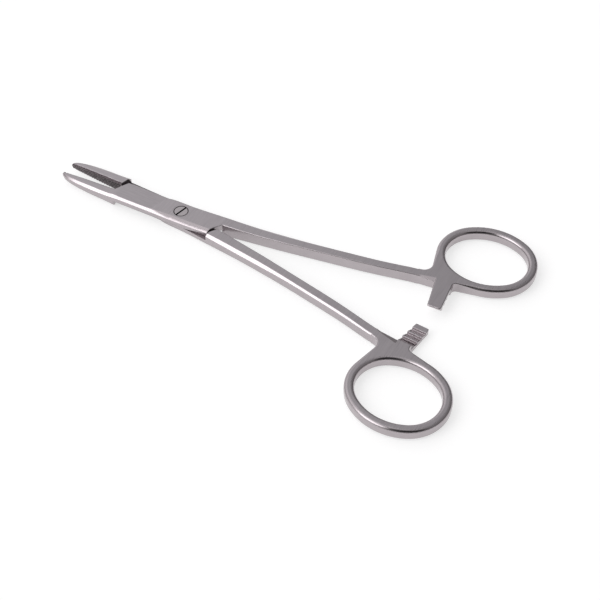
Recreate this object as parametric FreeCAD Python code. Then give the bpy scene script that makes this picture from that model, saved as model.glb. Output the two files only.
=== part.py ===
"""Needle holder, 14 cm, with a screwed lap joint, a bar ratchet and serrated jaw inserts.

Units are millimetres.  X runs along the instrument with the jaw tips at -X and the finger
rings at +X, Y runs across it and Z is up.  The origin is on the pivot axis, on the plane
that the instrument rests on.

The lower half is the upper half turned over about the long axis.  They differ in the bore,
in the ground end of the ratchet bar and in the height at which the insert is let in.  A half
is drawn closed, with its jaw face on the XZ plane, its shank and ring at +Y and its jaw at
-Y, and is then swung out to the angle at which the instrument lies open.
"""
import FreeCAD
import Part
import math
import os

os.makedirs("parts", exist_ok=True)

Vec = FreeCAD.Vector
X_AXIS = Vec(1, 0, 0)
Y_AXIS = Vec(0, 1, 0)
Z_AXIS = Vec(0, 0, 1)

# Main sizes
jaw_length = 41.5           # from the pivot to the jaw tips
ring_distance = 86.4        # from the pivot to the middle of the finger ring
ring_offset = 23.6          # from the centre line to the middle of the finger ring
joint_thickness = 4.2       # two overlapping layers and the gap between them

# Thicknesses
layer_gap = 0.04            # sliding clearance between the two layers
shank_thickness = 3.75      # the shanks are a little thinner than the joint
web_thickness = 3.5         # web and ring
shank_thins_from = 13.5     # the joint's thickness runs out into the shank's
shank_thins_to = 25.0       # between these two places

# Pose
rest_half_angle = 2.64      # each half is swung out this far at rest, degrees
bite_gap = 0.06             # gap left between the closed jaw inserts

# Edge of the jaw that faces away from the other jaw, from the tip back
# (distance behind the tip, distance from the centre line, bevel width, bevel height, roundness)
jaw_near_edge = [
    (0.4, 1.05, 0.35, 0.40, 0.3),
    (1.5, 1.75, 0.50, 0.45, 0.2),
    (3.1, 2.28, 0.62, 0.50, 0.1),
    (5.5, 2.78, 0.75, 0.58, 0.1),
    (9.5, 3.26, 0.85, 0.65, 0.1),
    (14.5, 3.60, 0.85, 0.68, 0.1),
]
# The same edge along the joint plate
# (x, distance from the centre line, bevel width, bevel height, roundness)
plate_near_edge = [
    (-20.0, 3.85, 0.75, 0.65, 0.1),
    (-12.5, 3.97, 0.70, 0.62, 0.1),
    (-8.5, 4.05, 0.85, 0.62, 0.3),
    (-5.0, 4.13, 1.20, 0.65, 0.5),
    (-1.0, 4.18, 1.45, 0.66, 0.6),
    (5.0, 4.18, 1.50, 0.66, 0.6),
    (11.0, 4.05, 1.45, 0.66, 0.6),
]
# Depth of the jaw's top face below the joint's: (distance behind the tip, depth)
jaw_fall = [
    (0.6, 1.30),
    (2.1, 1.08),
    (5.1, 0.86),
    (9.6, 0.58),
]
# and at the root of the jaw: (x, depth)
root_fall = [
    (-24.5, 0.33),
    (-21.0, 0.0),
]
tip_inner_set_back = 0.15   # the bite face ends this far behind the tip
steel_setback_tip = 0.40    # steel stands this far behind the centre line at the tip
steel_setback_root = 0.65   # and this far at the root, so that the insert stands proud
jaw_root_x = -22.5          # inner end of the jaw's steel edge
jaw_heel = (-22.25, 0.0)    # back wall of the full-thickness jaw, on the centre line
jaw_heel_outer = (-21.40, -3.65)
plate_corner = (-20.1, 3.32)    # front corner of the joint plate, over the other jaw
plate_far_edge = [(-15.0, 3.38), (-10.5, 3.16), (-6.0, 2.97)]
plate_inside = 2.4          # where the plate is buried in the shank

# End of the joint plate, against the other half's shoulder
plate_end = [(13.6, 0.50), (12.5, -0.77), (11.5, -2.24), (11.0, -4.05)]
shoulder_gap = 0.7          # clearance to the other half's shoulder
recess_reach = 12.0         # the recess is cut this far out to both sides
recess_spread = 2.4         # and its far corner lies this far along from the shoulder

# Shank beside the joint: (x, inner edge, outer edge, bevel width, bevel height)
joint_stations = [
    (-6.0, 1.60, 2.99, 0.04, 0.04),
    (0.0, 1.30, 3.72, 0.60, 0.50),
    (7.0, 0.80, 4.02, 0.75, 0.70),
    (14.0, 0.50, 4.45, 0.85, 0.80),
]
# and on to the web: (share of the way there, inner edge, outer edge, width, height)
shank_run = [
    (0.14, 1.15, 4.95, 0.95, 0.80),
    (0.28, 2.00, 5.55, 0.95, 0.72),
    (0.455, 3.35, 6.45, 0.70, 0.58),
    (0.63, 4.70, 7.70, 0.55, 0.50),
    (0.805, 6.22, 9.12, 0.55, 0.50),
    (0.91, 7.35, 10.18, 0.50, 0.42),
    (1.0, 8.25, 11.02, 0.38, 0.38),
]
shank_inner_chamfer = 0.15
trim_allowance = 0.5        # extra metal above and below, trimmed to the side profile

# Finger ring, round the middle of its bar: two end arcs and two side arcs
ring_semi_long = 13.15
ring_semi_short = 11.25
ring_end_radius = 10.5
ring_tilt = 2.5             # degrees
ring_bar_width = 2.7
ring_bar_rounding = 0.95
rim_flats = 5               # a rim's rounding is cut as this many narrow flats

# Web between shank, ring and ratchet bar
web_start = ring_distance - 15.4    # the web grows out of the shank from here
web_leaves_ring_left = 194  # where the web's edges run into the ring, degrees round it
web_leaves_ring_right = 277
web_left_radius = 2.6
web_right_radius = 1.3
web_edge_rounding = 0.32
web_heel = 8.5              # inner edge of the web, beside the bar
wedge_width = 1.45          # bevel that widens along the web's inner edge to the bar
wedge_height = 0.48
wedge_start = 0.12          # share of its size that it starts with

# Ratchet bar, all places given from the middle of the ring
bar_root_left = (ring_distance - 9.88, 10.6)
bar_root_right = (ring_distance - 4.57, 9.0)
bar_end_left = (ring_distance - 7.85, -0.7)
bar_end_right = (ring_distance - 3.9, -0.5)
bar_corner_radius = 0.6
bar_edge_chamfer = 0.16
upper_bar_lead = (1.1, 1.35)    # ground off under the end: length, height
lower_bar_lead = (0.3, 0.25)
tooth_pitch = 2.1
tooth_count = 3
tooth_depth = 0.75
tooth_land = 1.9            # plain end of the bar before the first tooth
tooth_steep = 0.15          # lean of a tooth's steep side
tooth_share = 0.92          # share of the pitch that the gap takes
tooth_clearance = 0.05      # from the teeth to the middle plane

# Pivot screw
screw_head_radius = 2.05
screw_head_height = 0.95
screw_shank_radius = 1.45
screw_thread_radius = 1.25
screw_clearance = 0.05      # running fit in the upper half
screw_recess = 0.03         # the head stands this far below the face
slot_width = 0.55
slot_depth = 0.6
slot_angle = 77.5           # degrees from +X

# Jaw inserts
insert_seat_tip = 0.70      # the insert is let in this far behind the centre line
insert_seat_root = 1.20
insert_cover_above = (0.55, 0.50)   # steel above the insert at the root and at the tip
insert_cover_below = (0.12, 0.05)   # and below it
insert_full_from = 3.5      # this far behind the tip it has reached the tip's cover
insert_back_high = -24.4    # the back end slopes from here
insert_back_low = -22.5     # to here
serration_pitch = 0.95
serration_depth = 0.2
serration_share = 0.42      # half width of a groove, share of the pitch
serration_slope = 35        # degrees either way

# Cutters are drawn past the metal by these amounts
overrun = 1.0
bevel_lead = 0.25
clear_of_part = 16.0

tip_x = -jaw_length
near_edge = [(tip_x + back, *rest) for back, *rest in jaw_near_edge] + plate_near_edge
top_fall = [(tip_x + back, depth) for back, depth in jaw_fall] + root_fall
shoulder_x = joint_stations[-1][0]
shank_stations = joint_stations + [
    (shoulder_x + share * (web_start - shoulder_x), *rest) for share, *rest in shank_run
]
mid = joint_thickness / 2


def on_plane(points):
    return [Vec(x, y, 0) for x, y in points]


def spline(points):
    curve = Part.BSplineCurve()
    curve.interpolate(points)
    return curve.toShape()


def polyline(points):
    return Part.makePolygon(points).Edges


def prism(edges, low, high):
    """Solid between two heights over a closed plan outline drawn at z = 0."""
    wire = Part.Wire(Part.__sortEdges__(edges))
    face = Part.Face(wire)
    solid = face.extrude(Vec(0, 0, high - low))
    solid.translate(Vec(0, 0, low))
    return solid


def turn_over(shape):
    """The other half's copy: turned over about the long axis."""
    return shape.rotated(Vec(0, 0, mid), X_AXIS, 180)


def swing(shape, degrees):
    return shape.rotated(Vec(0, 0, 0), Z_AXIS, degrees)


def along(stations, x, column):
    """Value in a station table at x, straight between the rows."""
    for first, second in zip(stations, stations[1:]):
        if first[0] <= x <= second[0]:
            share = (x - first[0]) / (second[0] - first[0])
            return first[column] + share * (second[column] - first[column])
    return stations[0][column] if x < stations[0][0] else stations[-1][column]


def smooth_along(rows, x, column):
    """Value in a table at x, on a smooth curve that never swings past its rows."""
    if x <= rows[0][0]:
        return rows[0][column]
    if x >= rows[-1][0]:
        return rows[-1][column]
    rises = []
    for first, second in zip(rows, rows[1:]):
        rises.append((second[column] - first[column]) / (second[0] - first[0]))
    slopes = [rises[0]]
    for before, after in zip(rises, rises[1:]):
        steady = before * after > 0
        slopes.append(2 * before * after / (before + after) if steady else 0.0)
    slopes.append(rises[-1])
    index = max(i for i, row in enumerate(rows[:-1]) if row[0] <= x)
    first, second = rows[index], rows[index + 1]
    step = second[0] - first[0]
    t = (x - first[0]) / step
    value = first[column] * (1 + 2 * t) * (1 - t) ** 2 + second[column] * t * t * (3 - 2 * t)
    return value + step * (slopes[index] * t * (1 - t) ** 2 - slopes[index + 1] * t * t * (1 - t))


def with_middles(rows):
    """Places of the rows and one place half way between each two."""
    places = [rows[0][0]]
    for first, second in zip(rows, rows[1:]):
        places += [(first[0] + second[0]) / 2, second[0]]
    return places


def line(first, last):
    return Part.LineSegment(first, last).toShape()


def arc(first, middle, last):
    return Part.Arc(first, middle, last).toShape()


def meet(first, first_way, second, second_way):
    """Where two lines cross in plan."""
    across = second - first
    turn = first_way.x * second_way.y - first_way.y * second_way.x
    run = (across.x * second_way.y - across.y * second_way.x) / turn
    return first + first_way * run


def corner_arc(before, corner, after, radius):
    """Ends, middle and centre of the arc that rounds a corner between two lines."""
    back = (before - corner).normalize()
    on = (after - corner).normalize()
    half = back.getAngle(on) / 2
    first = corner + back * (radius / math.tan(half))
    last = corner + on * (radius / math.tan(half))
    centre = corner + (back + on).normalize() * (radius / math.sin(half))
    middle = centre + (corner - centre).normalize() * radius
    return first, middle, last, centre


def fall_at(x):
    return smooth_along(top_fall, x, 1)


def plate_end_line(offset=0.0):
    """Curved end of the joint plate, or the other half's shoulder line at an offset."""
    return [Vec(x + offset, y, 0) for x, y in plate_end]


def head_outline():
    """Jaw and joint plate from above, the jaw drawn right up to the bite face."""
    places = with_middles(near_edge)
    near = [Vec(x, -smooth_along(near_edge, x, 1), 0) for x in reversed(places)]
    tip_inner = Vec(tip_x + tip_inner_set_back, -bite_gap / 2, 0)
    corner = Vec(plate_corner[0], plate_corner[1], 0)
    steel_root = Vec(jaw_root_x, -steel_setback_root, 0)
    root = meet(tip_inner, X_AXIS, steel_root, corner - steel_root)
    far = [corner] + on_plane(plate_far_edge)
    end = plate_end_line()
    buried = [far[-1], Vec(0, plate_inside, 0), Vec(end[0].x, plate_inside, 0), end[0]]
    edges = [line(tip_inner, root), line(root, corner), spline(far)]
    edges += polyline(buried)
    edges += [spline(end), spline(near)]
    tip_mid = Vec(tip_x, (near[-1].y + tip_inner.y) / 2, 0)
    edges.append(arc(near[-1], tip_mid, tip_inner))
    return edges


def steel_relief():
    """Strip cut from the jaw's steel so that only the insert reaches the bite face."""
    tip = Vec(tip_x - overrun, -steel_setback_tip, 0)
    root = Vec(jaw_root_x, -steel_setback_root, 0)
    corner = Vec(plate_corner[0], plate_corner[1], 0)
    above = root + (corner - root).normalize() * overrun
    strip = [tip, root, above, Vec(tip.x, above.y, 0), tip]
    return prism(polyline(strip), -overrun, joint_thickness + overrun)


def tangent_spline(points, first_tangent, last_tangent):
    curve = Part.BSplineCurve()
    curve.interpolate(Points=points, InitialTangent=first_tangent, FinalTangent=last_tangent)
    return curve.toShape()


def thickness_at(x):
    """Thickness of the half behind the jaw."""
    if x <= shank_thins_from:
        return joint_thickness
    if x <= shank_thins_to:
        share = (x - shank_thins_from) / (shank_thins_to - shank_thins_from)
        ease = share * share * (3 - 2 * share)
        return joint_thickness + ease * (shank_thickness - joint_thickness)
    share = (x - shank_thins_to) / (web_start - shank_thins_to)
    return shank_thickness + share * (web_thickness - shank_thickness)


def side_profile():
    """The half seen from the side, from the tip to the web, extruded right across."""
    reach = clear_of_part
    end = shank_stations[-1][0]
    middle = (shank_thins_from + shank_thins_to) / 2
    slope = (web_thickness - shank_thickness) / (web_start - shank_thins_to) / 2
    joint_end = Vec(shank_thins_from, -reach, joint_thickness)
    fall = [
        joint_end,
        Vec(middle, -reach, mid + thickness_at(middle) / 2),
        Vec(shank_thins_to, -reach, mid + shank_thickness / 2),
    ]
    web_end = Vec(end, -reach, mid + thickness_at(end) / 2)
    places = with_middles(top_fall)
    jaw = [Vec(x, -reach, joint_thickness - fall_at(x)) for x in reversed(places)]
    nose_way = (jaw[-1] - jaw[-2]).normalize()
    top = [
        tangent_spline(jaw, X_AXIS * -1, nose_way),
        line(jaw[0], joint_end),
        tangent_spline(fall, X_AXIS, Vec(1, 0, slope).normalize()),
        line(fall[-1], web_end),
    ]
    bottom = [e.mirror(Vec(0, 0, mid), Z_AXIS) for e in top]
    tip_low = Vec(jaw[-1].x, -reach, joint_thickness - jaw[-1].z)
    web_low = Vec(end, -reach, joint_thickness - web_end.z)
    nose = arc(jaw[-1], Vec(tip_x, -reach, mid), tip_low)
    face = Part.Face(Part.Wire(Part.__sortEdges__(top + bottom + [nose, line(web_end, web_low)])))
    return face.extrude(Vec(0, 2 * reach, 0))


def bevel_section(x, shift=0.0):
    """Section of the wedge cut from the near edge's top: a bevel, more or less rounded."""
    edge, width, height, roundness = [smooth_along(near_edge, x, c) for c in (1, 2, 3, 4)]
    top = joint_thickness - fall_at(x)
    start = Vec(x + shift, -(edge - width), top)
    finish = Vec(x + shift, -edge, top - height)
    lean = math.atan2(height, width)
    sag = roundness * math.hypot(width, height) / 2 * math.tan(lean / 2)
    outward = Vec(0, -height, width).normalize()
    middle = (start + finish) / 2 + outward * sag
    way_in = lean * (1 - roundness)
    way_out = lean * (1 + roundness)
    start += Vec(0, math.cos(way_in), math.sin(way_in)) * bevel_lead
    finish -= Vec(0, math.cos(way_out), math.sin(way_out)) * bevel_lead
    before = start + Vec(0, math.cos(way_in), math.sin(way_in)) * overrun
    after = finish - Vec(0, math.cos(way_out), math.sin(way_out)) * overrun
    outside = -clear_of_part / 2
    above = joint_thickness + 2 * overrun
    edges = [line(before, start), arc(start, middle, finish)]
    edges += polyline([
        finish,
        after,
        Vec(x + shift, outside, after.z),
        Vec(x + shift, outside, above),
        Vec(x + shift, before.y, above),
        before,
    ])
    return Part.Wire(edges)


def bevel_cutter():
    """Wedge that bevels the top of the head's near edge, wider and narrower as it runs."""
    places = with_middles(near_edge)
    wires = [bevel_section(places[0], -overrun)]
    wires += [bevel_section(x) for x in places]
    wires.append(bevel_section(places[-1], overrun))
    return Part.makeLoft(wires, True)


def shank():
    """Flat inner side and two bevels on the outer side, left tall for the side profile."""
    wires = []
    for x, inner, outer, width, height in shank_stations:
        half = thickness_at(x) / 2
        over = trim_allowance
        lean = width / height
        cut = shank_inner_chamfer
        upper = [
            (inner, half - cut),
            (inner + cut + over, half + over),
            (outer - width - over * lean, half + over),
            (outer, half - height),
        ]
        lower = [(y, -z) for y, z in reversed(upper)]
        section = [Vec(x, y, mid + z) for y, z in upper + lower]
        wires.append(Part.makePolygon(section + [section[0]]))
    return Part.makeLoft(wires, True)


def ring_arcs(grow):
    """Centre, radius, first and last angle of the right, upper, left and lower arcs."""
    middle = Vec(ring_distance, ring_offset, 0)
    long_way = swing_vector(X_AXIS, ring_tilt)
    short_way = swing_vector(Y_AXIS, ring_tilt)
    end_shift = ring_semi_long - ring_end_radius
    side_radius = (end_shift ** 2 + ring_semi_short ** 2 - ring_end_radius ** 2)
    side_radius /= 2 * (ring_semi_short - ring_end_radius)
    side_shift = side_radius - ring_semi_short
    join = math.degrees(math.atan2(side_shift, end_shift))
    end = ring_end_radius + grow
    side = side_radius + grow
    turn = ring_tilt
    return [
        (middle + long_way * end_shift, end, turn - join, turn + join),
        (middle - short_way * side_shift, side, turn + join, turn + 180 - join),
        (middle - long_way * end_shift, end, turn + 180 - join, turn + 180 + join),
        (middle + short_way * side_shift, side, turn + 180 + join, turn + 360 - join),
    ]


def swing_vector(vector, degrees):
    return FreeCAD.Rotation(Z_AXIS, degrees).multVec(vector)


def circle_arc(centre, radius, first, last):
    circle = Part.Circle(centre, Z_AXIS, radius)
    return Part.ArcOfCircle(circle, math.radians(first), math.radians(last)).toShape()


def shank_end(column):
    """Point on the shank's inner (1) or outer (2) edge where the web starts, and its run."""
    last, before = shank_stations[-1], shank_stations[-2]
    way = Vec(last[0] - before[0], last[column] - before[column], 0).normalize()
    return Vec(last[0], last[column], 0), way


def on_bar_side(side_root, side_end, y):
    """Point on one long side of the bar at a distance from the centre line."""
    share = (y - side_end[1]) / (side_root[1] - side_end[1])
    return Vec(side_end[0] + share * (side_root[0] - side_end[0]), y, 0)


def handle():
    """Web and finger ring in one outline, with the rims rounded."""
    low = mid - web_thickness / 2
    high = mid + web_thickness / 2
    outer = ring_arcs(ring_bar_width / 2)
    inner = ring_arcs(-ring_bar_width / 2)
    right, upper, left, lower = outer
    start, run = shank_end(2)
    inner_start, inner_run = shank_end(1)
    left_way = swing_vector(X_AXIS, web_leaves_ring_left)
    ring_left = left[0] + left_way * left[1]
    right_way = swing_vector(X_AXIS, web_leaves_ring_right)
    ring_right = lower[0] + right_way * lower[1]
    heel_right = on_bar_side(bar_root_right, bar_end_right, web_heel)
    heel_left = on_bar_side(bar_root_left, bar_end_left, web_heel)
    bar_way = heel_right - on_plane([bar_root_right])[0]
    left_corner = meet(start, run, ring_left, swing_vector(left_way, 90))
    right_corner = meet(ring_right, swing_vector(right_way, -90), heel_right, bar_way)
    left_arc = corner_arc(start, left_corner, ring_left, web_left_radius)
    right_arc = corner_arc(ring_right, right_corner, heel_right, web_right_radius)
    left_trimmed = (left[0], left[1], left[2], web_leaves_ring_left)
    lower_trimmed = (lower[0], lower[1], web_leaves_ring_right, lower[3])
    outer = [left_trimmed, upper, right, lower_trimmed]
    inner_end = meet(inner_start, inner_run, heel_left, X_AXIS)
    edges = [circle_arc(*piece) for piece in outer]
    edges += [line(start, left_arc[0]), arc(*left_arc[:3]), line(left_arc[2], ring_left)]
    edges += [line(ring_right, right_arc[0]), arc(*right_arc[:3]), line(right_arc[2], heel_right)]
    edges += polyline([heel_right, heel_left, inner_end, inner_start, start])
    body = prism(edges, low, high)
    hole = prism([circle_arc(*piece) for piece in inner], low - overrun, high + overrun)
    body = body.cut(hole)
    full, small = ring_bar_rounding, web_edge_rounding
    rims = [ring_rim(piece, full, 1) for piece in outer]
    rims += [ring_rim(piece, full, -1) for piece in inner]
    rims += [
        line_rim(start - run * bevel_lead, left_arc[0], small, small),
        corner_rim(left_arc, small),
        line_rim(left_arc[2], ring_left, small, full),
        line_rim(ring_right, right_arc[0], full, small),
        corner_rim(right_arc, small),
        line_rim(right_arc[2], heel_right, small, small),
    ]
    return body.cut(rims + [turn_bottom(rim) for rim in rims])


def rim_profile(place, outward, size):
    """Section of what is cut from a top rim: narrow flats in place of a quarter round."""
    high = mid + web_thickness / 2
    past = overrun / 2
    corners = []
    for index in range(rim_flats + 1):
        turn = math.radians(90 * index / rim_flats)
        corners.append((size * (math.cos(turn) - 1), high + size * (math.sin(turn) - 1)))
    corners += [(-size, high + past), (past, high + past), (past, high - size), corners[0]]
    return Part.makePolygon([place + outward * out + Z_AXIS * z for out, z in corners])


def ring_rim(piece, size, side):
    """Rim cutter round one of the ring's arcs: side 1 is the outside, -1 the inside."""
    centre, radius, first, last = piece
    way = swing_vector(X_AXIS, first)
    profile = Part.Face(rim_profile(centre + way * radius, way * side, size))
    return profile.revolve(centre, Z_AXIS, last - first)


def corner_rim(corner, size):
    """Rim cutter round the hollow corner between the web and what it joins."""
    first, middle, last, centre = corner
    way = (centre - first).normalize()
    turn = math.degrees((first - centre).getAngle(last - centre))
    return Part.Face(rim_profile(first, way, size)).revolve(centre, Z_AXIS, turn)


def line_rim(first, last, first_size, last_size):
    """Rim cutter along a straight edge, from one size to another."""
    outward = swing_vector((last - first).normalize(), 90)
    sections = [rim_profile(first, outward, first_size), rim_profile(last, outward, last_size)]
    return Part.makeLoft(sections, True, True)


def upright_edge(shape, place):
    """The vertical edge of a prism that stands at a plan point."""
    def distance(edge):
        centre = edge.BoundBox.Center
        return math.hypot(centre.x - place[0], centre.y - place[1])
    upright = [e for e in shape.Edges if e.BoundBox.ZLength > 0.5 * shape.BoundBox.ZLength]
    return min(upright, key=distance)


def ratchet_bar(lead):
    """Upper-layer bar with teeth on its underside that face the other half's bar."""
    low = mid + tooth_clearance
    high = mid + web_thickness / 2
    outline = [bar_root_left, bar_end_left, bar_end_right, bar_root_right, bar_root_left]
    body = prism(polyline(on_plane(outline)), low, high)
    ends = [upright_edge(body, bar_end_left), upright_edge(body, bar_end_right)]
    body = body.makeFillet(bar_corner_radius, ends)
    rims = []
    for edge in body.Edges:
        box = edge.BoundBox
        if box.ZMin > high - 0.01 and box.YMin < bar_root_right[1] / 2:
            rims.append(edge)
    body = body.makeChamfer(bar_edge_chamfer, rims)
    return body.cut(tooth_gaps(low) + [bar_lead(lead, low)])


def side_cutter(corners):
    """Prism right across the bar over corners given as (distance across, height)."""
    points = [Vec(bar_end_left[0] - clear_of_part, y, z) for y, z in corners + corners[:1]]
    return Part.Face(Part.makePolygon(points)).extrude(Vec(2 * clear_of_part, 0, 0))


def bar_lead(lead, low):
    """Slope ground under the bar's end so that it slides up on the other bar."""
    length, height = lead
    end = bar_end_left[1]
    rise = height / length
    return side_cutter([
        (end - overrun, low + height + rise * overrun),
        (end + length + overrun / rise, low - overrun),
        (end - overrun, low - overrun),
    ])


def tooth_gaps(low):
    """Saw-tooth gaps across the bar: steep towards the end, sloped towards the ring side."""
    gaps = []
    below = overrun / 10
    for index in range(tooth_count):
        front = bar_end_left[1] + tooth_land + index * tooth_pitch
        gaps.append(side_cutter([
            (front, low - below),
            (front + tooth_steep, low + tooth_depth),
            (front + tooth_pitch * tooth_share, low - below),
        ]))
    return gaps


def lap_recess():
    """What is cut away below the joint plate so that the other half's plate passes."""
    heel_inner = Vec(jaw_heel[0], jaw_heel[1], 0)
    heel_outer = Vec(jaw_heel_outer[0], jaw_heel_outer[1], 0)
    run = heel_outer - heel_inner
    shoulder = [Vec(p.x, -p.y, 0) for p in plate_end_line(shoulder_gap)]
    far_high = Vec(shoulder[-1].x, recess_reach, 0)
    far_low = Vec(shoulder[0].x + recess_spread, -recess_reach, 0)
    edges = [spline(shoulder)]
    edges += polyline([
        shoulder[-1],
        far_high,
        heel_inner - run * 3,
        heel_outer + run * 3,
        far_low,
        shoulder[0],
    ])
    return prism(edges, -overrun, mid + layer_gap / 2)


def insert_space(reach, above, below):
    """Room for the insert: its side outline, from the slanting seat out to a reach."""
    front, full_x = tip_x - overrun, tip_x + insert_full_from
    full_fall, root_fall_depth = fall_at(full_x), fall_at(insert_back_high)
    high = joint_thickness - full_fall - above[1]
    upper = [(front, high), (full_x, high)]
    upper.append((insert_back_high, joint_thickness - root_fall_depth - above[0]))
    low = full_fall + below[1]
    lower = [(front, low), (full_x, low)]
    lower.append((insert_back_low, root_fall_depth + below[0]))
    outline = upper + list(reversed(lower)) + upper[:1]
    back = -clear_of_part / 2
    corners = [Vec(x, back, z) for x, z in outline]
    side = Part.Face(Part.makePolygon(corners)).extrude(Vec(0, reach - back, 0))
    seat_tip = Vec(tip_x - overrun, -insert_seat_tip, 0)
    seat_root = Vec(jaw_root_x + overrun, -insert_seat_root, 0)
    ahead = Vec(seat_tip.x, reach + overrun, 0)
    behind = Vec(seat_root.x, ahead.y, 0)
    edges = polyline([seat_tip, seat_root, behind, ahead, seat_tip])
    plan = prism(edges, -overrun, joint_thickness + overrun)
    return side.common(plan)


def serration_grooves(slope):
    """V grooves across the insert's face, all leaning one way."""
    face_y = -bite_gap / 2
    mouth = 0.02
    wide = serration_pitch * serration_share
    long = 2 * joint_thickness
    first = tip_x - joint_thickness
    count = int((insert_back_low + joint_thickness - first) / serration_pitch)
    grooves = []
    for index in range(count):
        x = first + index * serration_pitch
        corners = [
            Vec(x - wide, face_y + mouth, -long / 2),
            Vec(x, face_y - serration_depth, -long / 2),
            Vec(x + wide, face_y + mouth, -long / 2),
            Vec(x - wide, face_y + mouth, -long / 2),
        ]
        groove = Part.Face(Part.makePolygon(corners)).extrude(Vec(0, 0, long))
        groove.rotate(Vec(x, 0, 0), Y_AXIS, slope)
        groove.translate(Vec(0, 0, mid))
        grooves.append(groove)
    return Part.makeCompound(grooves)


def jaw_insert(above, below):
    jaw = prism(head_outline(), 0, joint_thickness).common(side_profile())
    body = jaw.common(insert_space(-bite_gap / 2, above, below))
    for slope in (serration_slope, -serration_slope):
        body = body.cut(serration_grooves(slope))
    return body


def half_blank(lead, above, below):
    head = prism(head_outline(), 0, joint_thickness).cut(steel_relief())
    body = head.fuse(shank()).common(side_profile())
    wedge = bevel_cutter()
    body = body.cut(wedge).cut(turn_bottom(wedge))
    body = body.fuse(handle())
    wedge = inner_wedge()
    body = body.cut(wedge).cut(turn_bottom(wedge))
    body = body.cut(lap_recess())
    body = body.fuse(ratchet_bar(lead))
    body = body.cut(insert_space(overrun, above, below))
    return body.removeSplitter()


def inner_wedge():
    """Bevel that widens along the web's inner edge until it meets the bar."""
    heel = on_bar_side(bar_root_left, bar_end_left, web_heel)
    start, run = shank_end(1)
    corner = meet(start, run, heel, X_AXIS)
    top = mid + web_thickness / 2
    first_x = web_start
    wires = []
    for x in (first_x - overrun / 4, corner.x, heel.x, heel.x + overrun):
        edge = web_heel if x >= corner.x else meet(start, run, Vec(x, 0, 0), Y_AXIS).y
        grow = wedge_start + (1 - wedge_start) * (x - first_x) / (heel.x - first_x)
        wide, deep = wedge_width * grow, wedge_height * grow
        past = Vec(0, wide, deep).normalize() * (overrun / 4)
        upper = Vec(x, edge + wide, top) + past
        lower = Vec(x, edge, top - deep) - past
        wires.append(Part.makePolygon([upper, lower, Vec(x, lower.y, upper.z), upper]))
    return Part.makeLoft(wires, True, True)


def turn_bottom(shape):
    """The same cutter for the underside, mirrored in the middle plane."""
    return shape.mirror(Vec(0, 0, mid), Z_AXIS)


def screw_bore(radius):
    return Part.makeCylinder(radius, joint_thickness + 2 * overrun, Vec(0, 0, -overrun))


def head_recess():
    depth = screw_head_height + screw_clearance
    start = Vec(0, 0, joint_thickness - depth)
    return Part.makeCylinder(screw_head_radius + screw_clearance, depth + overrun, start)


def upper_half():
    blank = half_blank(upper_bar_lead, insert_cover_above, insert_cover_below)
    body = blank.cut(screw_bore(screw_shank_radius + screw_clearance))
    return swing(body.cut(head_recess()), rest_half_angle)


def lower_half():
    blank = half_blank(lower_bar_lead, insert_cover_below, insert_cover_above)
    body = turn_over(blank).cut(screw_bore(screw_thread_radius))
    return swing(body, -rest_half_angle)


def upper_jaw_insert():
    insert = jaw_insert(insert_cover_above, insert_cover_below)
    return swing(insert, rest_half_angle)


def lower_jaw_insert():
    insert = jaw_insert(insert_cover_below, insert_cover_above)
    return swing(turn_over(insert), -rest_half_angle)


def pivot_screw():
    top = joint_thickness - screw_recess
    neck = top - screw_head_height
    head = Part.makeCylinder(screw_head_radius, screw_head_height, Vec(0, 0, neck))
    plain_low = mid - layer_gap / 2
    plain = Part.makeCylinder(screw_shank_radius, neck - plain_low, Vec(0, 0, plain_low))
    thread = Part.makeCylinder(screw_thread_radius, plain_low)
    body = head.fuse([plain, thread]).removeSplitter()
    slot_length = 2 * (screw_head_radius + overrun)
    corner = Vec(-slot_length / 2, -slot_width / 2, top - slot_depth)
    slot = Part.makeBox(slot_length, slot_width, slot_depth + overrun, corner)
    return body.cut(swing(slot, slot_angle))


nodes = {
    "upper_half": upper_half,
    "lower_half": lower_half,
    "upper_jaw_insert": upper_jaw_insert,
    "lower_jaw_insert": lower_jaw_insert,
    "pivot_screw": pivot_screw,
}

for name, build in nodes.items():
    shape = build()
    solid = shape.Solids[0] if len(shape.Solids) == 1 else shape
    print(name, "solids", len(shape.Solids), "valid", shape.isValid(), "volume", round(shape.Volume, 2))
    solid.exportStep("parts/" + name + ".step")
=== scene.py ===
import math

import bpy
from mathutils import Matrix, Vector

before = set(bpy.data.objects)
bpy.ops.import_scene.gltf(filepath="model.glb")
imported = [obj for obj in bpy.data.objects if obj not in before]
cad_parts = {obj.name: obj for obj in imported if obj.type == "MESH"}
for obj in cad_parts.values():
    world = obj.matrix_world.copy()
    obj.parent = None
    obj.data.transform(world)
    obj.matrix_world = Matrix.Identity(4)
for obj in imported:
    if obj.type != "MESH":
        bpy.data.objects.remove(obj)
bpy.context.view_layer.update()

MM = 0.001

# Places on the instrument
JOINT_TOP = 4.2 * MM            # top face of the joint, where the screw head is filed flush
LAP_FACE = 2.1 * MM             # height at which the two halves slide on each other
LAP_REACH = 30 * MM             # the sliding faces lie within this distance of the screw
HEAD_RADIUS = 2.08 * MM         # middle of the fine gap round the screw head
GAP_FULL = 0.08 * MM            # the painted shade line of the gap is full this far to either side
GAP_GONE = 0.2 * MM             # and gone this far
FACE_MARGIN = 0.1 * MM          # a point this near to a face's height lies on it
JAW_GRINDING_FROM = -7.1 * MM   # the lengthwise grinding of the jaw starts to show here
JAW_GRINDING_FULL = -7.9 * MM   # and is full here, both along X at the middle line
JAW_GRINDING_SLANT = -0.35      # slope of the line where it starts

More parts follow.
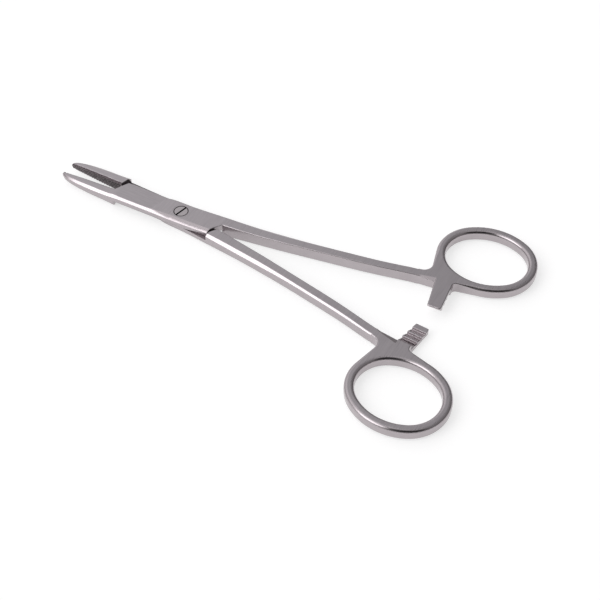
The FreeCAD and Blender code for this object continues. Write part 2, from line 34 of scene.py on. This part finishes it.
# Marks of the finish
GRINDING_SPACING = 0.22 * MM    # really about 0.02 mm, drawn coarser so that the lines show
GRINDING_LENGTH = 6 * MM
GRINDING_ANGLE = math.radians(8)
JAW_SPACING = 0.25 * MM         # really about 0.02 mm, drawn coarser so that the lines show
JAW_LENGTH = 5 * MM
CLOUD = 5 * MM                  # unevenness from hand polishing
TURNED_SPACING = 0.42 * MM      # really about 0.1 mm, drawn coarser so that the rings show
TURNED_INNER = 2.6 * MM         # the turned rings are full inside this radius
TURNED_OUTER = 3.9 * MM         # and gone outside this one
SOFT_EDGE = 0.3 * MM            # how far polishing has rounded the edges
CREVICE_SHADE_REACH = 0.9 * MM               # painted shade darkens gaps narrower than this
BURR = 0.28 * MM                # really about 0.1 mm, drawn coarser so that the grain shows
MOTTLE = 0.5 * MM
FILE_MARK = 0.4 * MM            # really about 0.1 mm, drawn coarser so that the marks show
GAP_AND_SLOT_SHADE = "#3a3537"           # painted shade in the gap round the screw head, and in its slot

# Studio
TABLE_SIZE = 1.6
TABLE_MIDDLE = (0.03, 0, 0)
TABLE_GLOW = 0.68               # light added so that the table shows white
# The room's grey from the horizon to the zenith, as pairs of height and level
ROOM = [(0.0, 0.30), (0.22, 0.42), (0.45, 0.60), (0.75, 0.72), (0.90, 0.85), (1.0, 1.5)]
ROOM_TINT = (1, 0.985, 0.995)
DARK_SIDE = (0.40, -0.56, 0.78)     # direction of the photographer's dark side
SOFT_BOX = (-0.42, -0.62, 0.68)     # direction of the soft box
CAMERA_AZIMUTH = math.radians(29.994)
CAMERA_ELEVATION = math.radians(47.413)
CAMERA_PLACE = (0.16467, -0.21571, 0.25862)
CAMERA_SENSOR = 36
CAMERA_LENS = 75.84


def linear(hex_colour):
    """An sRGB hex colour as the linear values that the nodes take."""
    channels = [int(hex_colour[i:i + 2], 16) / 255 for i in (1, 3, 5)]
    return [
        c / 12.92 if c <= 0.04045 else ((c + 0.055) / 1.055) ** 2.4 for c in channels
    ] + [1.0]


def node(tree, kind, settings=None, inputs=None):
    """Adds a node. An input's value is a number, a colour or another node's output."""
    made = tree.nodes.new(kind)
    for name, value in (settings or {}).items():
        setattr(made, name, value)
    for name, value in (inputs or {}).items():
        if isinstance(value, bpy.types.NodeSocket):
            tree.links.new(value, made.inputs[name])
        else:
            made.inputs[name].default_value = value
    return made


def new_material(name):
    made = bpy.data.materials.new(name)
    made.use_nodes = True
    made.node_tree.nodes.clear()
    return made, made.node_tree


def finish_material(tree, shader):
    out = node(tree, "ShaderNodeOutputMaterial")
    tree.links.new(shader.outputs[0], out.inputs["Surface"])


def distance_from_screw(tree, parts):
    """Distance from the screw's axis, from the separated object coordinates."""
    across = node(
        tree, "ShaderNodeCombineXYZ", inputs={"X": parts.outputs["X"], "Y": parts.outputs["Y"]},
    )
    return node(
        tree, "ShaderNodeVectorMath", {"operation": "LENGTH"}, {0: across.outputs[0]},
    ).outputs["Value"]


def jaw_mask(tree, parts):
    """1 on the jaw, where the steel is ground along its length, and 0 behind it."""
    slanted = node(
        tree, "ShaderNodeMath", {"operation": "MULTIPLY_ADD"},
        {0: parts.outputs["Y"], 1: JAW_GRINDING_SLANT, 2: parts.outputs["X"]},
    ).outputs[0]
    return node(
        tree, "ShaderNodeMapRange", {"interpolation_type": "SMOOTHSTEP"},
        {"Value": slanted, "From Min": JAW_GRINDING_FROM, "From Max": JAW_GRINDING_FULL},
    ).outputs[0]


def grinding_lines(tree, place, on_jaw):
    """Fine lines of the grinding belt, across the length and along it on the jaw."""
    crosswise = node(
        tree, "ShaderNodeMapping",
        inputs={"Vector": place, "Rotation": (0, 0, GRINDING_ANGLE),
                "Scale": (1 / GRINDING_SPACING, 1 / GRINDING_LENGTH, 1 / GRINDING_LENGTH)},
    )
    lengthwise = node(
        tree, "ShaderNodeMapping",
        inputs={"Vector": place, "Scale": (1 / JAW_LENGTH, 1 / JAW_SPACING, 1 / JAW_LENGTH)},
    )
    cross_lines, jaw_lines = [
        node(
            tree, "ShaderNodeTexNoise",
            inputs={"Vector": run.outputs[0], "Scale": 1.0, "Detail": 3.0, "Roughness": 0.6},
        ).outputs["Fac"]
        for run in (crosswise, lengthwise)
    ]
    return node(
        tree, "ShaderNodeMix", {"data_type": "FLOAT"}, {0: on_jaw, 2: cross_lines, 3: jaw_lines},
    ).outputs[0]


def turned_marks(tree, radius):
    """Rings round the screw, where its head was turned flush with the joint."""
    turns = node(
        tree, "ShaderNodeMath", {"operation": "MULTIPLY"},
        {0: radius, 1: 2 * math.pi / TURNED_SPACING},
    ).outputs[0]
    rings = node(tree, "ShaderNodeMath", {"operation": "SINE"}, {0: turns}).outputs[0]
    near_screw = node(
        tree, "ShaderNodeMapRange", {"interpolation_type": "SMOOTHSTEP"},
        {"Value": radius, "From Min": TURNED_OUTER, "From Max": TURNED_INNER},
    ).outputs[0]
    return node(
        tree, "ShaderNodeMath", {"operation": "MULTIPLY"}, {0: rings, 1: near_screw},
    ).outputs[0]


def screw_gap_shade_mask(tree, parts, radius):
    """1 on the steel's side of the fine gap round the screw head, at the top face, where the
    gap's shade is painted.
    """
    ring = node(
        tree, "ShaderNodeMapRange", {"interpolation_type": "SMOOTHSTEP"},
        {"Value": radius, "From Min": HEAD_RADIUS + GAP_GONE,
         "From Max": HEAD_RADIUS + GAP_FULL},
    ).outputs[0]
    at_top = node(
        tree, "ShaderNodeMath", {"operation": "GREATER_THAN"},
        {0: parts.outputs["Z"], 1: JOINT_TOP - FACE_MARGIN},
    ).outputs[0]
    return node(
        tree, "ShaderNodeMath", {"operation": "MULTIPLY"}, {0: ring, 1: at_top},
    ).outputs[0]


def sliding_face_shade_mask(tree, parts, upright, radius):
    """1 on the faces of the joint that slide on each other, where painted shade darkens them."""
    at_height = node(
        tree, "ShaderNodeMath", {"operation": "COMPARE"},
        {0: parts.outputs["Z"], 1: LAP_FACE, 2: FACE_MARGIN},
    ).outputs[0]
    lies_flat = node(
        tree, "ShaderNodeMath", {"operation": "GREATER_THAN"}, {0: upright, 1: 0.9},
    ).outputs[0]
    near_joint = node(
        tree, "ShaderNodeMath", {"operation": "LESS_THAN"}, {0: radius, 1: LAP_REACH},
    ).outputs[0]
    flat_there = node(
        tree, "ShaderNodeMath", {"operation": "MULTIPLY"}, {0: at_height, 1: lies_flat},
    ).outputs[0]
    return node(
        tree, "ShaderNodeMath", {"operation": "MULTIPLY"}, {0: flat_there, 1: near_joint},
    ).outputs[0]


def crevice_shade_mask(tree):
    """Painted shade, up to 0.85, in the narrow gaps of the joint, between the teeth and at the
    foot of the walls on the table.
    """
    openness = node(
        tree, "ShaderNodeAmbientOcclusion", {"samples": 6, "only_local": False},
        {"Distance": CREVICE_SHADE_REACH},
    ).outputs["AO"]
    return node(
        tree, "ShaderNodeMapRange", {"interpolation_type": "SMOOTHSTEP"},
        {"Value": openness, "From Min": 0.55, "From Max": 0.05, "To Max": 0.85},
    ).outputs[0]


def ground_stainless_steel():
    """Martensitic stainless steel, its flat faces ground satin and its walls, bevels and
    rings polished. The eye gets soft grey flats between clear bright edges."""
    made, tree = new_material("ground_stainless_steel")
    coordinates = node(tree, "ShaderNodeTexCoord")
    place = coordinates.outputs["Object"]
    parts = node(tree, "ShaderNodeSeparateXYZ", inputs={"Vector": place})
    facing = node(
        tree, "ShaderNodeSeparateXYZ", inputs={"Vector": coordinates.outputs["Normal"]},
    )
    upright = node(
        tree, "ShaderNodeMath", {"operation": "ABSOLUTE"}, {0: facing.outputs["Z"]},
    ).outputs[0]
    flat = node(
        tree, "ShaderNodeMapRange", {"interpolation_type": "SMOOTHSTEP"},
        {"Value": upright, "From Min": 0.965, "From Max": 0.998},
    ).outputs[0]
    radius = distance_from_screw(tree, parts)
    on_jaw = jaw_mask(tree, parts)
    lines = grinding_lines(tree, place, on_jaw)

    # The marks are full on the flats and slight on the polished faces
    marks = node(
        tree, "ShaderNodeMath", {"operation": "MULTIPLY_ADD"},
        {0: turned_marks(tree, radius), 1: 0.9, 2: lines},
    ).outputs[0]
    depth = node(
        tree, "ShaderNodeMapRange", inputs={"Value": flat, "To Min": 0.35, "To Max": 1.0},
    ).outputs[0]
    height = node(
        tree, "ShaderNodeMath", {"operation": "MULTIPLY"}, {0: marks, 1: depth},
    ).outputs[0]
    soft_edges = node(tree, "ShaderNodeBevel", {"samples": 6}, {"Radius": SOFT_EDGE})
    bump = node(
        tree, "ShaderNodeBump",
        inputs={"Strength": 0.6, "Distance": 0.016 * MM, "Height": height,
                "Normal": soft_edges.outputs[0]},
    )

    polish, satin = [
        node(
            tree, "ShaderNodeMapRange",
            inputs={"Value": lines, "To Min": smoothest, "To Max": roughest},
        ).outputs[0]
        for smoothest, roughest in ((0.13, 0.24), (0.26, 0.36))
    ]
    roughness = node(
        tree, "ShaderNodeMix", {"data_type": "FLOAT"}, {0: flat, 2: polish, 3: satin},
    ).outputs[0]

    cloud = node(
        tree, "ShaderNodeTexNoise", inputs={"Vector": place, "Scale": 1 / CLOUD, "Detail": 2.0},
    ).outputs["Fac"]
    bright = node(
        tree, "ShaderNodeMix", {"data_type": "RGBA"},
        {0: cloud, 6: linear("#aca5a8"), 7: linear("#b8b1b4")},
    ).outputs[2]
    streaked = node(
        tree, "ShaderNodeMix", {"data_type": "RGBA"},
        {0: lines, 6: linear("#9a9599"), 7: linear("#beb9bc")},
    ).outputs[2]
    streaked = node(
        tree, "ShaderNodeMix", {"data_type": "RGBA", "blend_type": "MULTIPLY"},
        {0: on_jaw, 6: streaked, 7: linear("#f8f8f8")},
    ).outputs[2]
    colour = node(
        tree, "ShaderNodeMix", {"data_type": "RGBA"}, {0: flat, 6: bright, 7: streaked},
    ).outputs[2]
    # Painted shade: a dark line in the gap round the screw, the sliding faces of the joint
    # darkened, and darker still in the narrow hollows, between the teeth and where the walls
    # meet the table
    for mask, darkened in (
        # painted shade of the fine gap round the screw head
        (screw_gap_shade_mask(tree, parts, radius), GAP_AND_SLOT_SHADE),
        # painted shade on the sliding faces in the joint's gap
        (sliding_face_shade_mask(tree, parts, upright, radius), "#6a6366"),
        # painted shade in the hollows and where the walls meet the table
        (crevice_shade_mask(tree), "#2a2728"),
    ):
        colour = node(
            tree, "ShaderNodeMix", {"data_type": "RGBA"},
            {0: mask, 6: colour, 7: linear(darkened)},
        ).outputs[2]

    finish_material(tree, node(
        tree, "ShaderNodeBsdfPrincipled",
        inputs={"Base Color": colour, "Metallic": 1.0, "Roughness": roughness,
                "Normal": bump.outputs[0]},
    ))
    return made


def cross_cut_insert():
    """Tungsten carbide, sintered dark and matt, with a cross-cut bite face. The eye gets a
    dark grain that breaks up every reflection."""
    made, tree = new_material("cross_cut_insert")
    place = node(tree, "ShaderNodeTexCoord").outputs["Object"]
    burrs = node(
        tree, "ShaderNodeTexVoronoi", inputs={"Vector": place, "Scale": 1 / BURR},
    ).outputs["Distance"]
    mottle = node(
        tree, "ShaderNodeTexNoise", inputs={"Vector": place, "Scale": 1 / MOTTLE, "Detail": 4.0},
    ).outputs["Fac"]
    colour = node(
        tree, "ShaderNodeMix", {"data_type": "RGBA"},
        {0: mottle, 6: linear("#453f41"), 7: linear("#7c7577")},
    ).outputs[2]
    crests = node(
        tree, "ShaderNodeMapRange", {"interpolation_type": "SMOOTHSTEP"},
        {"Value": burrs, "From Min": 0.25, "From Max": 0.7},
    ).outputs[0]
    colour = node(
        tree, "ShaderNodeMix", {"data_type": "RGBA"},
        {0: crests, 6: colour, 7: linear("#8a8386")},
    ).outputs[2]
    roughness = node(
        tree, "ShaderNodeMapRange", inputs={"Value": mottle, "To Min": 0.42, "To Max": 0.6},
    ).outputs[0]
    bump = node(
        tree, "ShaderNodeBump",
        inputs={"Strength": 0.7, "Distance": 0.08 * MM, "Height": burrs},
    )
    finish_material(tree, node(
        tree, "ShaderNodeBsdfPrincipled",
        inputs={"Base Color": colour, "Metallic": 1.0, "Roughness": roughness,
                "Normal": bump.outputs[0]},
    ))
    return made


def turned_screw():
    """Stainless screw, its head turned and then filed with the joint. The eye gets a smooth disc
    inside a painted shade line, and a slot dark with painted shade."""
    made, tree = new_material("turned_screw")
    place = node(tree, "ShaderNodeTexCoord").outputs["Object"]
    parts = node(tree, "ShaderNodeSeparateXYZ", inputs={"Vector": place})
    radius = distance_from_screw(tree, parts)
    marks = node(
        tree, "ShaderNodeTexNoise",
        inputs={"Vector": place, "Scale": 1 / FILE_MARK, "Detail": 3.0},
    ).outputs["Fac"]
    roughness = node(
        tree, "ShaderNodeMapRange", inputs={"Value": marks, "To Min": 0.24, "To Max": 0.34},
    ).outputs[0]
    colour = node(
        tree, "ShaderNodeMix", {"data_type": "RGBA"},
        {0: marks, 6: linear("#a9a4a7"), 7: linear("#b9b4b6")},
    ).outputs[2]
    # Painted shade: the fine gap at the head's rim and the sunk slot are coloured dark
    rim = node(
        tree, "ShaderNodeMapRange", {"interpolation_type": "SMOOTHSTEP"},
        {"Value": radius, "From Min": HEAD_RADIUS - GAP_GONE,
         "From Max": HEAD_RADIUS - GAP_FULL},
    ).outputs[0]
    sunk = node(
        tree, "ShaderNodeMapRange",
        inputs={"Value": parts.outputs["Z"], "From Min": JOINT_TOP - 0.06 * MM,
                "From Max": JOINT_TOP - 0.2 * MM},
    ).outputs[0]
    dark = node(tree, "ShaderNodeMath", {"operation": "MAXIMUM"}, {0: rim, 1: sunk}).outputs[0]
    colour = node(
        tree, "ShaderNodeMix", {"data_type": "RGBA"}, {0: dark, 6: colour, 7: linear(GAP_AND_SLOT_SHADE)},
    ).outputs[2]
    bump = node(
        tree, "ShaderNodeBump",
        inputs={"Strength": 0.2, "Distance": 0.01 * MM, "Height": marks},
    )
    finish_material(tree, node(
        tree, "ShaderNodeBsdfPrincipled",
        inputs={"Base Color": colour, "Metallic": 1.0, "Roughness": roughness,
                "Normal": bump.outputs[0]},
    ))
    return made


def white_table():
    """White laminate. To the camera and in reflections it glows a little, so that it shows
    white and still keeps the instrument's shadow."""
    made, tree = new_material("white_table")
    path = node(tree, "ShaderNodeLightPath").outputs
    seen = node(
        tree, "ShaderNodeMath", {"operation": "MAXIMUM"},
        {0: path["Is Camera Ray"], 1: path["Is Glossy Ray"]},
    ).outputs[0]
    seen = node(
        tree, "ShaderNodeMath", {"operation": "MAXIMUM"},
        {0: seen, 1: path["Is Transmission Ray"]},
    ).outputs[0]
    laminate = node(
        tree, "ShaderNodeBsdfDiffuse", inputs={"Color": linear("#bcbcbc")},
    ).outputs[0]
    glow = node(
        tree, "ShaderNodeEmission", inputs={"Color": linear("#ffffff"), "Strength": TABLE_GLOW},
    ).outputs[0]
    glowing = node(tree, "ShaderNodeAddShader", inputs={0: laminate, 1: glow}).outputs[0]
    finish_material(tree, node(
        tree, "ShaderNodeMixShader", inputs={0: seen, 1: laminate, 2: glowing},
    ))
    return made


def patch(tree, way, aim, inner, outer, first, last):
    """A value over the room that goes from first to last round a direction."""
    toward = node(
        tree, "ShaderNodeVectorMath", {"operation": "DOT_PRODUCT"},
        {0: way, 1: Vector(aim).normalized()},
    ).outputs["Value"]
    return node(
        tree, "ShaderNodeMapRange", {"interpolation_type": "SMOOTHSTEP"},
        {"Value": toward, "From Min": math.cos(math.radians(outer)),
         "From Max": math.cos(math.radians(inner)), "To Min": first, "To Max": last},
    ).outputs[0]


def studio():
    """A grey room, lighter on the left, with a soft box in front on the left and the
    photographer's dark side on the right."""
    made = bpy.data.worlds.new("studio")
    made.use_nodes = True
    tree = made.node_tree
    tree.nodes.clear()
    way = node(tree, "ShaderNodeTexCoord").outputs["Generated"]
    axes = node(tree, "ShaderNodeSeparateXYZ", inputs={"Vector": way})
    grey = node(tree, "ShaderNodeValToRGB", inputs={"Fac": axes.outputs["Z"]})
    grey.color_ramp.interpolation = "EASE"
    while len(grey.color_ramp.elements) < len(ROOM):
        grey.color_ramp.elements.new(0.5)
    for element, (height, level) in zip(grey.color_ramp.elements, ROOM):
        element.position = height
        element.color = [level * tint for tint in ROOM_TINT] + [1]
    side = node(
        tree, "ShaderNodeMapRange",
        inputs={"Value": axes.outputs["X"], "From Min": -0.62, "From Max": -0.05,
                "To Min": 1.55, "To Max": 0.45},
    ).outputs[0]
    dark_side = patch(tree, way, DARK_SIDE, 20, 36, 1.0, 0.06)
    soft_box = patch(tree, way, SOFT_BOX, 14, 27, 0.0, 1.95)
    strength = node(
        tree, "ShaderNodeMath", {"operation": "MULTIPLY"}, {0: side, 1: dark_side},
    ).outputs[0]
    room = node(
        tree, "ShaderNodeVectorMath", {"operation": "SCALE"},
        {"Vector": grey.outputs["Color"], "Scale": strength},
    ).outputs["Vector"]
    lit = node(
        tree, "ShaderNodeVectorMath", {"operation": "ADD"}, {0: room, 1: soft_box},
    ).outputs["Vector"]
    sky = node(tree, "ShaderNodeBackground", inputs={"Color": lit, "Strength": 1.0})
    out = node(tree, "ShaderNodeOutputWorld")
    tree.links.new(sky.outputs[0], out.inputs["Surface"])
    return made


def photo_camera():
    """Camera where the photograph was taken from."""
    made = bpy.data.objects.new("camera", bpy.data.cameras.new("camera"))
    bpy.context.scene.collection.objects.link(made)
    back = Vector((
        math.sin(CAMERA_AZIMUTH) * math.cos(CAMERA_ELEVATION),
        -math.cos(CAMERA_AZIMUTH) * math.cos(CAMERA_ELEVATION),
        math.sin(CAMERA_ELEVATION),
    ))
    made.location = CAMERA_PLACE
    made.rotation_euler = (-back).to_track_quat("-Z", "Y").to_euler()
    made.data.sensor_width = CAMERA_SENSOR
    made.data.lens = CAMERA_LENS
    made.data.clip_start = 0.01
    made.data.clip_end = 10
    return made


# Finishes of the five pieces
steel = ground_stainless_steel()
insert = cross_cut_insert()
screw = turned_screw()
for name, material in {
    "upper_half": steel,
    "lower_half": steel,
    "pivot_screw": screw,
    "upper_jaw_insert": insert,
    "lower_jaw_insert": insert,
}.items():
    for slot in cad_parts[name].material_slots:
        slot.material = material

# Table, room and camera
bpy.ops.object.select_all(action="DESELECT")
bpy.ops.mesh.primitive_plane_add(size=TABLE_SIZE, location=TABLE_MIDDLE)
floor = bpy.context.active_object
floor.name = "floor"
floor.data.materials.append(white_table())

bpy.context.scene.world = studio()
bpy.context.scene.camera = photo_camera()
bpy.context.scene.view_settings.view_transform = "Standard"
